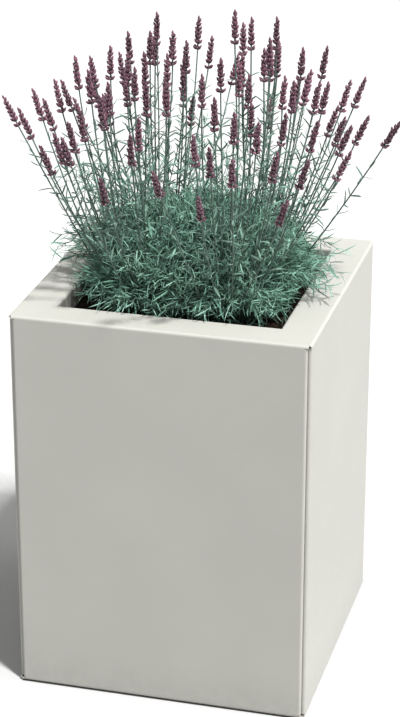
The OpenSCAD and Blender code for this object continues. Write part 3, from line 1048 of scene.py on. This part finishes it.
def grow_leaf(growth, rng, place, direction, size, shade):
    lean = any_side(rng, direction)
    lean = (lean + CURL * UP * rng.choice((-1, 1))).normalized()
    kind = rng.randrange(len(KINDS))
    bow = LEAF_SHAPES[kind][0] * size
    if clears_rim(place + direction * size * along + lean * bow * out for along, out in LEAF_TESTS):
        growth.sprout(place, direction, lean, size, kind, shade)


EDGE_SHARE = 0.2
DOME_SHARE = 0.8
DOME_POWER = 0.8


def mound_height(radius):
    """Height of the foliage at a distance from the planter's axis."""
    out = min(radius / MOUND_RADIUS, 1.0)
    rise = MOUND_TOP - Z_TOP
    return Z_TOP + rise * (EDGE_SHARE + DOME_SHARE * (1 - out ** 2) ** DOME_POWER)


SHOOT_RADIUS = 0.0012
# Degrees between a leaf and its shoot: at the foot, less by the tip, and by chance
LEAF_SPLAY, SPLAY_LOSS, SPLAY_CHANCE = 58, 16, 14
# Size of a leaf: least, by chance, at the foot, and less by the tip
LEAF_LEAST, LEAF_CHANCE, FOOT_LEAF, LEAF_LOSS = 0.4, 0.25, 1.12, 0.38
# Shade, from 0 to 1: range of the shoots' stems, middle and chance of a shoot's leaves,
# chance from leaf to leaf, and the gain at the tip with the share of the shoot where it starts
STALK_SHADES = (0.3, 0.7)
SHOOT_SHADE = (0.5, 0.15)
SHADE_CHANCE = 0.16
TIP_LIGHT, LIGHT_FROM = 0.16, 0.6
# Chance, in radians, in the turn of a pair of leaves and of one leaf
PAIR_TURN, LEAF_TURN = 0.3, 0.35
NEARLY_UPRIGHT = 0.95


def leafy_shoot(growth, rng, path, spacing, leaf, start, thickness=SHOOT_RADIUS):
    """A shoot with crossed pairs of leaves, longest below and shortest at its tip."""
    growth.stem(path, thickness, thickness * 0.5, rng.uniform(*STALK_SHADES))
    azimuth = rng.uniform(0, math.tau)
    own = rng.gauss(*SHOOT_SHADE)
    for place, ahead, share in walk(path, spacing, start):
        across = ahead.cross(UP if abs(ahead.z) < NEARLY_UPRIGHT else ALONG_X).normalized()
        azimuth += math.pi / 2 + either_way(rng, PAIR_TURN)
        for side in (0, math.pi):
            splay = rng.gauss(LEAF_SPLAY - SPLAY_LOSS * share, SPLAY_CHANCE)
            _, direction = splayed(ahead, across, azimuth + side + either_way(rng, LEAF_TURN), splay)
            size = leaf * max(LEAF_LEAST, rng.gauss(1.0, LEAF_CHANCE)) * (FOOT_LEAF - LEAF_LOSS * share)
            shade = within_one(own + rng.gauss(0, SHADE_CHANCE) + TIP_LIGHT * (share - LIGHT_FROM))
            grow_leaf(growth, rng, place, direction.normalized(), size, shade)


PLANT_OVERLAP = 0.28
ROOT_DEPTH = 0.006
STRAY_EVERY = 18
SKIRT_BAND = 0.012


class Plant:
    """One of the four plants: a mound, a skirt over the soil and thin tall shoots."""

    def __init__(self, growth, rng, sx, sy, lavender):
        self.growth = growth
        self.rng = rng
        self.corner = (sx, sy)
        self.node = lavender.node_spacing
        self.leaf = lavender.leaf_length

    def foot(self, spread):
        """A place on the soil round the crown."""
        x, y = (c * CROWN_INSET + either_way(self.rng, spread) for c in self.corner)
        return Vector((x, y, SOIL_HIGH.z - ROOT_DEPTH))

    def end(self, radius, low, high, into_corner=0.0, last_angle=math.pi / 2 + PLANT_OVERLAP):
        """A place in the plant's quarter, farther out towards the corner where into_corner says so."""
        angle = self.rng.uniform(-PLANT_OVERLAP, last_angle)
        radius *= 1 + into_corner * math.sin(2 * angle) ** 2
        x, y = radius * math.cos(angle), radius * math.sin(angle)
        return Vector((self.corner[0] * x, self.corner[1] * y, self.rng.uniform(low, high)))

    def path(self, start, end, out, up, sway, count=10):
        """A bend from start to end whose middle lies a share out and a share up the gap."""
        gap = end - start
        middle = start + Vector((gap.x * out, gap.y * out, gap.z * up))
        return bezier(start, middle + any_side(self.rng, gap.normalized()) * sway, end, count)

    def shoot(self, path, start, node=1.0, leaf=1.0, thickness=SHOOT_RADIUS):
        leafy_shoot(self.growth, self.rng, path, self.node * node, self.leaf * leaf, start, thickness)

    def mound(self, count, reach=0.78, crowding=0.56, lowest=0.36, highest=0.77):
        for _ in range(count):
            radius = MOUND_RADIUS * reach * self.rng.random() ** crowding
            rise = mound_height(radius) - Z_TOP
            end = self.end(radius, Z_TOP + rise * lowest, Z_TOP + rise * highest)
            path = self.path(self.foot(spread=0.055), end, out=0.34, up=0.58, sway=0.02)
            self.shoot(path, start=0.36)

    def low_shoot(self, out, up, node=1.0, **where):
        """A shoot that ends between two shares of the mound's radius and two heights over the rim."""
        radius = MOUND_RADIUS * self.rng.uniform(*out)
        level = Z_TOP + self.rng.uniform(*up)
        end = self.end(radius, level, level + SKIRT_BAND, **where)
        start = self.foot(spread=0.06)
        path = self.path(start, end, out=0.5, up=1.0 + 0.03 / (end.z - start.z), sway=0.014)
        self.shoot(path, start=0.2, node=node)

    def skirt(self, count):
        """Low shoots over the soil, and a few strays that hang over the rim at the sides."""
        for turn in range(count):
            if turn % STRAY_EVERY == 0:
                self.low_shoot(out=(0.9, 1.15), up=(0.015, 0.06), node=1.7, last_angle=0.45)
            else:
                self.low_shoot(out=(0.45, 0.85), up=(-0.014, 0.024), into_corner=0.16)

    def tall(self, count, lowest=0.11, highest=0.33, fall=0.5):
        for _ in range(count):
            radius = MOUND_RADIUS * self.rng.random() ** 0.5
            end = self.end(radius, Z_TOP + lowest, Z_TOP + highest - fall * radius)
            path = self.path(self.foot(spread=0.05), end, out=0.4, up=0.55, sway=0.01, count=14)
            self.shoot(path, start=0.42, node=2.6, leaf=0.78, thickness=0.0011)


def loose_solids(node):
    """Vertex positions of each separate solid of a CAD node."""
    work = bmesh.new()
    work.from_mesh(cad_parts[node].data)
    bmesh.ops.remove_doubles(work, verts=work.verts, dist=1e-6)
    seen, solids = set(), []
    for vert in work.verts:
        if vert in seen:
            continue
        seen.add(vert)
        stack, solid = [vert], []
        while stack:
            here = stack.pop()
            solid.append(here.co.copy())
            for edge in here.link_edges:
                other = edge.other_vert(here)
                if other not in seen:
                    seen.add(other)
                    stack.append(other)
        solids.append(solid)
    work.free()
    return solids


SPIKE_UPTURN = math.radians(9)
# Share of a spike's distance from the crown at which its stem comes out of the soil, and chance
STEM_SPREAD, STEM_CHANCE = 0.2, 0.02
# Radius at the soil and at the spike, bow, and share of the way down in which it follows the spike
STEM_FOOT, STEM_TOP = 0.0015, 0.0012
STEM_BOW = (0.004, 0.01)
STEM_FOLLOW = 0.45
STEM_STEPS = 16
# Shares of a spike's length that its stem reaches up into it
CORE_REACH = (0.45, 0.86)
# Shares of a stem's length between which it carries leaves, and their distance from the spike
LEAVES_FROM, LEAVES_TO, LEAF_GAP = 0.35, 0.8, 0.02
# Spacing, length, splay in degrees with its chance, and size at the foot and less by the tip
PAIR_SPACING = (0.019, 0.027)
STEM_LEAF = (0.024, 0.037)
STEM_LEAF_SPLAY = (52, 10)
STEM_LEAF_FOOT, STEM_LEAF_LOSS = 1.15, 0.5
STEM_LEAF_TURN = 0.25


def spikes_of(corner):
    """Foot and tip of each flower spike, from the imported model, turned a little towards upright."""
    sx, sy = CORNERS[corner]
    crown = Vector((sx * CROWN_INSET, sy * CROWN_INSET, SOIL_HIGH.z))
    found = []
    for solid in loose_solids("flower_spikes_" + corner):
        tip = max(solid, key=lambda p: (p - crown).length)
        axis = (tip - crown).normalized()
        foot = crown + axis * min((p - crown).dot(axis) for p in solid)
        middle, half = (foot + tip) / 2, (tip - foot).length / 2
        upright = axis.slerp(UP, min(1.0, SPIKE_UPTURN / max(axis.angle(UP), 1e-3)))
        found.append((middle - upright * half, middle + upright * half))
    return crown, sorted(found, key=lambda pair: tuple(round(c, 5) for c in pair[1]))


def flower_stem(growth, rng, crown, foot, tip):
    """A slightly bowed stem up into its spike, with pairs of small curled leaves."""
    out = STEM_SPREAD * (foot - crown)
    x, y = (c + either_way(rng, STEM_CHANCE) for c in out.xy)
    start = crown + Vector((x, y, -ROOT_DEPTH))
    back = (tip - foot).normalized()
    bow = any_side(rng, back) * rng.uniform(*STEM_BOW)
    middle = foot - back * (foot - start).length * STEM_FOLLOW + bow
    path = bezier(start, middle, foot, STEM_STEPS) + [foot.lerp(tip, share) for share in CORE_REACH]
    growth.stem(path, STEM_FOOT, STEM_TOP, rng.uniform(0.2, 0.6))
    azimuth = rng.uniform(0, math.tau)
    for place, ahead, share in walk(path, rng.uniform(*PAIR_SPACING), LEAVES_FROM):
        if share > LEAVES_TO or (place - foot).dot(back) > -LEAF_GAP:
            continue
        azimuth += math.pi / 2
        across = ahead.cross(ALONG_X).normalized()
        for side in (0, math.pi):
            splay = rng.gauss(*STEM_LEAF_SPLAY)
            turn = azimuth + side + either_way(rng, STEM_LEAF_TURN)
            _, direction = splayed(ahead, across, turn, splay)
            size = rng.uniform(*STEM_LEAF) * (STEM_LEAF_FOOT - STEM_LEAF_LOSS * share)
            grow_leaf(growth, rng, place, direction.normalized(), size, rng.uniform(0.25, 0.7))


WHORLS = 7
BUDS_PER_WHORL = 6
TIP_BUD = 0.9
# Degrees between a bud and its spike: in the first whorl, in the second, and less by the last
FIRST_SPLAY, BUD_SPLAY, BUD_CLOSING = 48, 32, 9
SPLAY_SPREAD = 5
# Radians from whorl to whorl, and chance in the turn of a whorl and of a bud
WHORL_TURN, WHORL_CHANCE, BUD_TURN = 0.55, 0.4, 0.18
# Drop of the first whorl as a share of the distance between two, and chance in a bud's height
FIRST_DROP, BUD_SHIFT = 0.25, 0.0007
# Length of a bud: less by the last whorl, and its range by chance
BUD_LOSS = 0.16
BUD_SIZES = (0.88, 1.1)
CORE_RADIUS = 0.0009


def flower_spike(growth, rng, foot, tip, bud):
    """Whorls of buds, wide and splayed below, close and upright at the tip."""
    axis = (tip - foot).normalized()
    across = axis.cross(ALONG_X).normalized()
    shade = rng.uniform(0.25, 0.75)
    pitch = ((tip - foot).length - bud * TIP_BUD) / (WHORLS - 0.5)
    for whorl in range(WHORLS):
        share = whorl / (WHORLS - 1)
        run = whorl * pitch if whorl else -FIRST_DROP * pitch
        splay = BUD_SPLAY - BUD_CLOSING * share if whorl else FIRST_SPLAY
        size = bud * (1.0 - BUD_LOSS * share ** 2)
        turn = whorl * WHORL_TURN + rng.uniform(0, WHORL_CHANCE)
        buds = BUDS_PER_WHORL - 2 if whorl == WHORLS - 1 else BUDS_PER_WHORL
        for k in range(buds):
            azimuth = turn + math.tau * k / BUDS_PER_WHORL + either_way(rng, BUD_TURN)
            out, direction = splayed(axis, across, azimuth, splay + rng.gauss(0, SPLAY_SPREAD))
            place = foot + axis * (run + either_way(rng, BUD_SHIFT)) + out * CORE_RADIUS
            length = size * rng.uniform(*BUD_SIZES)
            own = within_one(shade + rng.gauss(0, SHADE_CHANCE))
            growth.sprout(place, direction, out, length, 0, own)
    growth.sprout(tip - axis * bud * TIP_BUD, axis, across, bud * TIP_BUD, 0, shade)


# Operators


SENSOR_WIDTH = 36
VIEW_REACH = 800
FLOOR_REACH = 400.0
LAMP_DISTANCE = 6.0
STEM_SEED = 60
SPIKE_SEED = 80


def settings(context):
    return context.scene.planter


def at_corners(part):
    return [part + corner for corner in CORNERS]


class PlanterSettings(bpy.types.PropertyGroup):
    """All sizes and colours of the planter and its picture."""

    sheet: PointerProperty(type=SheetSettings)
    coat: PointerProperty(type=CoatSettings)
    soil: PointerProperty(type=SoilSettings)
    lavender: PointerProperty(type=LavenderSettings)
    view: PointerProperty(type=ViewSettings)
    light: PointerProperty(type=LightSettings)


class PLANTER_OT_camera(bpy.types.Operator):
    """Set the camera in front, to the right and above"""

    bl_idname = "planter.camera"
    bl_label = "Camera"

    def execute(self, context):
        view = settings(context).view
        flat = math.cos(view.tilt)
        back = Vector((math.sin(view.turn) * flat, -math.cos(view.turn) * flat, math.sin(view.tilt)))
        right = Vector((math.cos(view.turn), math.sin(view.turn), 0))
        above = back.cross(right)
        eye = back * view.distance + right * view.aim_right + above * view.aim_up + UP * Z_BOTTOM
        camera = bpy.data.objects.new("camera", bpy.data.cameras.new("camera"))
        camera.data.sensor_width = SENSOR_WIDTH
        camera.data.lens = view.lens
        camera.data.clip_end = VIEW_REACH
        aimed = Matrix((right, above, back)).transposed().to_4x4()
        camera.matrix_world = Matrix.Translation(eye) @ aimed
        context.scene.collection.objects.link(camera)
        context.scene.camera = camera
        return {"FINISHED"}


class PLANTER_OT_panels(bpy.types.Operator):
    """Bend the four body panels"""

    bl_idname = "planter.panels"
    bl_label = "Body panels"

    def execute(self, context):
        values = settings(context)
        material = powder_coat(values.coat.coat)
        for quarter, side in enumerate(SIDES):
            name = "folded_panel_" + side
            obj = new_object(name, panel_mesh(name, quarter, values.sheet))
            obj.data.materials.append(material)
            declare(obj, "planter", "powder_coat", side + "_panel")
        dress(at_corners("gusset_") + at_corners("cleat_"), material)
        return {"FINISHED"}


class PLANTER_OT_framework(bpy.types.Operator):
    """Finish the stiffeners, base plate, rails, brackets, liner, drain plate and cushions"""

    bl_idname = "planter.framework"
    bl_label = "Framework"

    def execute(self, context):
        coat = settings(context).coat
        zinc = ["base_plate", "rail_right", "rail_left", "liner"]
        zinc += ["stiffener_" + side for side in SIDES] + at_corners("bracket_")
        dress(zinc, galvanised(coat.zinc))
        dress(["drain_plate"], moulded("drain_plate_plastic", coat.black, 1400.0, 0.00005, 0.5))
        rubber = moulded("cushion_rubber", coat.black, 800.0, 0.0001, 0.75)
        dress(["cushion_right", "cushion_left"], rubber)
        return {"FINISHED"}


class PLANTER_OT_fasteners(bpy.types.Operator):
    """Finish the rivets, bolts, nuts and threaded stems"""

    bl_idname = "planter.fasteners"
    bl_label = "Fasteners"

    def execute(self, context):
        plated = ["base_rivets", "rail_bolts", "rail_nuts", "weld_nuts", "lock_nuts"]
        dress(plated + at_corners("stem_"), plated_steel(settings(context).coat.steel))
        return {"FINISHED"}


class PLANTER_OT_feet(bpy.types.Operator):
    """Finish the pads of the levelling feet"""

    bl_idname = "planter.feet"
    bl_label = "Levelling feet"

    def execute(self, context):
        black = settings(context).coat.black
        dress(at_corners("foot_"), moulded("black_plastic", black, 1100.0, 0.00008, 0.55))
        return {"FINISHED"}


class PLANTER_OT_fleece(bpy.types.Operator):
    """Lay the filter fleece on the drain plate"""

    bl_idname = "planter.fleece"
    bl_label = "Filter fleece"

    def execute(self, context):
        obj = new_object("filter_fleece", fleece_mesh("filter_fleece"))
        obj.data.materials.append(fleece_felt(settings(context).coat.fleece))
        declare(obj, "insert", "fleece", "fleece")
        return {"FINISHED"}


class PLANTER_OT_soil(bpy.types.Operator):
    """Fill the insert with soil"""

    bl_idname = "planter.soil"
    bl_label = "Soil"

    def execute(self, context):
        soil = settings(context).soil
        obj = crumb_tree().grow(
            "potting_soil", soil_mesh("potting_soil"), Crumb=crumb_object(), Density=soil.density,
            Smallest=soil.smallest, Largest=soil.largest, Seed=CRUMB_SEED,
            Material=potting_soil(soil.moist_and_hollow_shade, soil.dry),
        )
        declare(obj, "insert", "soil", "soil")
        return {"FINISHED"}


def grow_piece(tree, growth, part, corner, slot, material, kinds, sides=3):
    """One piece of a plant, which stands for the plant's CAD node of its slot's name."""
    name = f"lavender_{part}_{corner}"
    obj = tree.grow(name, growth.mesh(name), ("shade", "along"), Sides=sides, Material=material, **kinds)
    declare(obj, "insert", slot, f"{slot}_{corner}")


class PLANTER_OT_foliage(bpy.types.Operator):
    """Grow the leafy shoots of the four plants"""

    bl_idname = "planter.foliage"
    bl_label = "Foliage"

    def execute(self, context):
        lavender = settings(context).lavender
        material = leafy("foliage", lavender.leaf_dark, lavender.leaf_mid, lavender.leaf_light)
        narrow, wide = leaf_kinds("leaf", LEAF_RATIO), leaf_kinds("tall_leaf", STEM_LEAF_RATIO)
        parts = (
            ("foliage", Plant.mound, lavender.shoots, narrow),
            ("skirt", Plant.skirt, lavender.skirt, narrow),
            ("shoots", Plant.tall, lavender.tall, wide),
        )
        tree = plant_tree()
        for seed, (corner, (sx, sy)) in enumerate(CORNERS.items()):
            for part, sprout, count, kinds in parts:
                growth = Growth()
                sprout(Plant(growth, random.Random(f"{part}_{seed}"), sx, sy, lavender), count)
                grow_piece(tree, growth, part, corner, "foliage", material, kinds)
        return {"FINISHED"}


class PLANTER_OT_flower_stems(bpy.types.Operator):
    """Grow the flower stems with their pairs of small leaves"""

    bl_idname = "planter.flower_stems"
    bl_label = "Flower stems"

    def execute(self, context):
        stalk = tuple(settings(context).lavender.stalk)
        material = leafy("flower_stems", toned(stalk, 0.6), stalk, toned(stalk, 1.5))
        kinds = leaf_kinds("stem_leaf", STEM_LEAF_RATIO)
        tree = plant_tree()
        for seed, corner in enumerate(CORNERS, STEM_SEED):
            growth = Growth()
            rng = random.Random(seed)
            crown, spikes = spikes_of(corner)
            for foot, tip in spikes:
                flower_stem(growth, rng, crown, foot, tip)
            grow_piece(tree, growth, "stems", corner, "flower_stems", material, kinds, sides=6)
        return {"FINISHED"}


class PLANTER_OT_flower_spikes(bpy.types.Operator):
    """Set the whorls of buds on the flower spikes"""

    bl_idname = "planter.flower_spikes"
    bl_label = "Flower spikes"

    def execute(self, context):
        lavender = settings(context).lavender
        material = petals(tuple(lavender.bloom_dark), tuple(lavender.bloom_light))
        kinds = dict.fromkeys((f"Kind_{n}" for n in KINDS), bud_object())
        tree = plant_tree()
        for seed, corner in enumerate(CORNERS, SPIKE_SEED):
            growth = Growth()
            rng = random.Random(seed)
            for foot, tip in spikes_of(corner)[1]:
                flower_spike(growth, rng, foot, tip, lavender.bud_length)
            grow_piece(tree, growth, "spikes", corner, "flower_spikes", material, kinds)
        return {"FINISHED"}


def hang_lamp(name, strength, turn, tilt, size):
    """A far lamp, turned from the right towards the front and tilted above the floor."""
    lamp = bpy.data.objects.new(name, bpy.data.lights.new(name, "SUN"))
    lamp.data.energy = strength
    lamp.data.angle = size
    flat = math.cos(tilt)
    toward = Vector((math.cos(turn) * flat, -math.sin(turn) * flat, math.sin(tilt)))
    aimed = toward.to_track_quat("Z", "Y").to_matrix().to_4x4()
    lamp.matrix_world = Matrix.Translation(toward * LAMP_DISTANCE) @ aimed
    bpy.context.scene.collection.objects.link(lamp)


def studio_world(around, overhead):
    """White fill from all round that grows stronger away from the horizon."""
    world = bpy.data.worlds.new("studio")
    world.use_nodes = True
    sky = NodeTree(world.node_tree)
    place = sky.add("ShaderNodeTexCoord").outputs["Generated"]
    height = sky.add("ShaderNodeSeparateXYZ", {0: place}).outputs["Z"]
    strength = sky.math("MULTIPLY_ADD", sky.math("MULTIPLY", height, height), overhead, around)
    sky.feed(world.node_tree.nodes["Background"], {"Color": (1, 1, 1, 1), "Strength": strength})
    return world


def floor_mesh(colour):
    reach = FLOOR_REACH
    mesh = bpy.data.meshes.new("floor")
    points = [(x * reach, y * reach, 0) for x, y in ((-1, -1), (1, -1), (1, 1), (-1, 1))]
    mesh.from_pydata(points, [], [(0, 1, 2, 3)])
    paint = Finish("floor_paint", roughness=0.8, Specular_IOR_Level=0.1)
    cloud = paint.spread(paint.noise(1.5, 3.0), 0.0, 1.0)
    paint.set(Base_Color=paint.tones(cloud, toned(colour, 0.99), toned(colour, 1.01)))
    mesh.materials.append(paint.material)
    return mesh


class PLANTER_OT_stage(bpy.types.Operator):
    """Lay the floor and hang the light"""

    bl_idname = "planter.stage"
    bl_label = "Floor and light"

    def execute(self, context):
        light = settings(context).light
        new_object("floor", floor_mesh(light.floor))
        hang_lamp("lamp", light.lamp, light.lamp_turn, light.lamp_tilt, light.lamp_size)
        hang_lamp("side_light", light.side, light.side_turn, light.side_tilt, light.side_size)
        context.scene.world = studio_world(light.sky, light.overhead)
        context.scene.view_settings.view_transform = "Standard"
        context.scene.view_settings.gamma = light.contrast
        return {"FINISHED"}


STEPS = (
    PLANTER_OT_camera, PLANTER_OT_panels, PLANTER_OT_framework, PLANTER_OT_fasteners, PLANTER_OT_feet,
    PLANTER_OT_fleece, PLANTER_OT_soil, PLANTER_OT_foliage, PLANTER_OT_flower_stems,
    PLANTER_OT_flower_spikes, PLANTER_OT_stage,
)


class PLANTER_PT_sidebar(bpy.types.Panel):
    """Steps and sizes of the planter"""

    bl_idname = "PLANTER_PT_sidebar"
    bl_label = "Square planter"
    bl_space_type = "VIEW_3D"
    bl_region_type = "UI"
    bl_category = "Planter"

    def draw(self, context):
        for step in STEPS:
            self.layout.operator(step.bl_idname)
        values = settings(context)
        for name in PlanterSettings.__annotations__:
            group = getattr(values, name)
            box = self.layout.box()
            for key in group.__annotations__:
                box.prop(group, key)


CLASSES = (
    SheetSettings, CoatSettings, SoilSettings, LavenderSettings, ViewSettings, LightSettings,
    PlanterSettings, *STEPS, PLANTER_PT_sidebar,
)


def register():
    for cls in CLASSES:
        bpy.utils.register_class(cls)
    bpy.types.Scene.planter = PointerProperty(type=PlanterSettings)


def unregister():
    del bpy.types.Scene.planter
    for cls in reversed(CLASSES):
        bpy.utils.unregister_class(cls)


def main():
    register()
    for step in STEPS:
        area, name = step.bl_idname.split(".")
        getattr(getattr(bpy.ops, area), name)()


if __name__ == "__main__":
    main()
